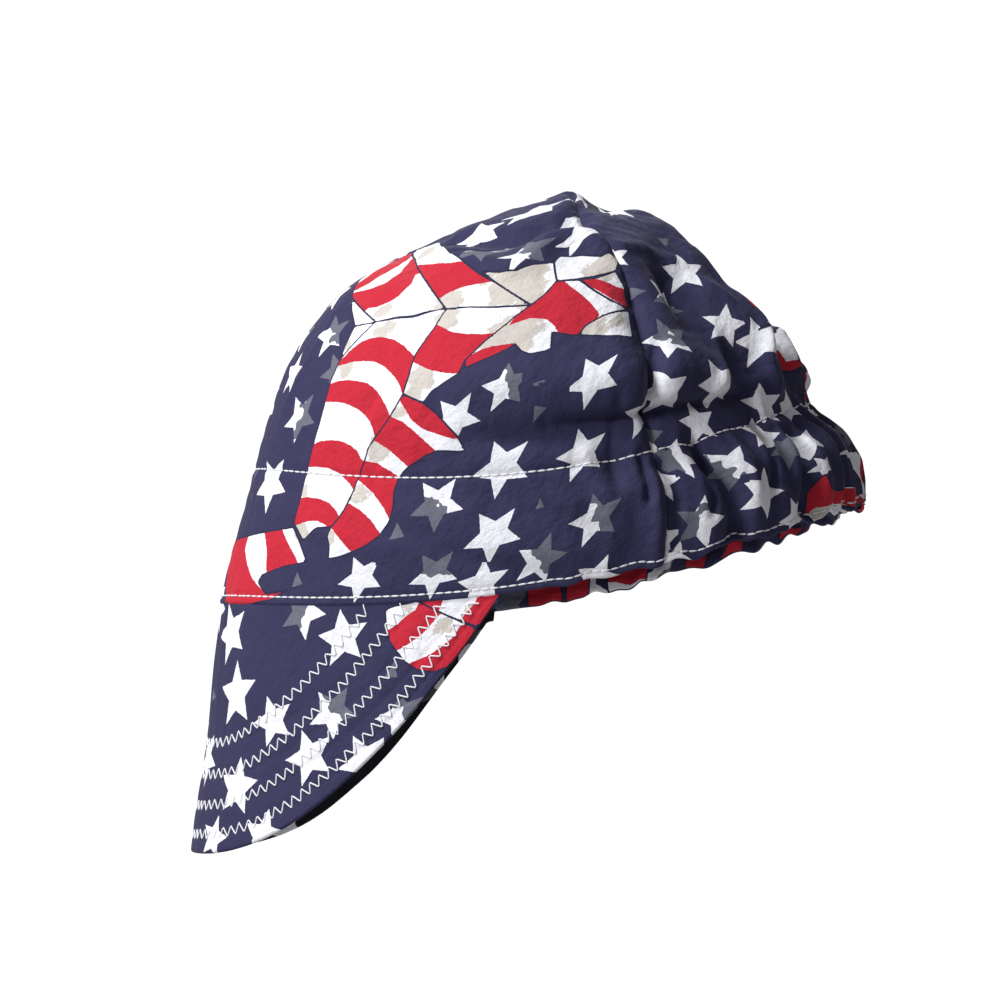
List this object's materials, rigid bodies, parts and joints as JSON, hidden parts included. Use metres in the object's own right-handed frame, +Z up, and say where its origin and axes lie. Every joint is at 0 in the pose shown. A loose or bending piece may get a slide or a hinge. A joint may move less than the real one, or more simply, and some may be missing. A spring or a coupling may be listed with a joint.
{
  "type": "welding cap",
  "caption": "Soft cotton welding cap with a four-gore crown, a deep hem gathered at the back and a short stitched peak",
  "frame": {"origin": "middle of the head opening, on the line from the front to the back of the rim", "axes": "+Z up out of the crown, -Y to the peak and the front, +X to the wearer's left"},
  "size_m": [0.1412, 0.2155, 0.179],
  "materials": {
    "printed_cotton": "matte printed cotton twill",
    "hem_cotton": "matte printed cotton twill",
    "peak_cotton": "matte printed cotton over a stitched interlayer"
  },
  "bodies": {
    "root": {"crown_front_left": "printed_cotton", "crown_front_right": "printed_cotton", "crown_rear_left": "printed_cotton", "crown_rear_right": "printed_cotton", "turned_hem": "hem_cotton", "peak": "peak_cotton"}
  },
  "joints": []
}
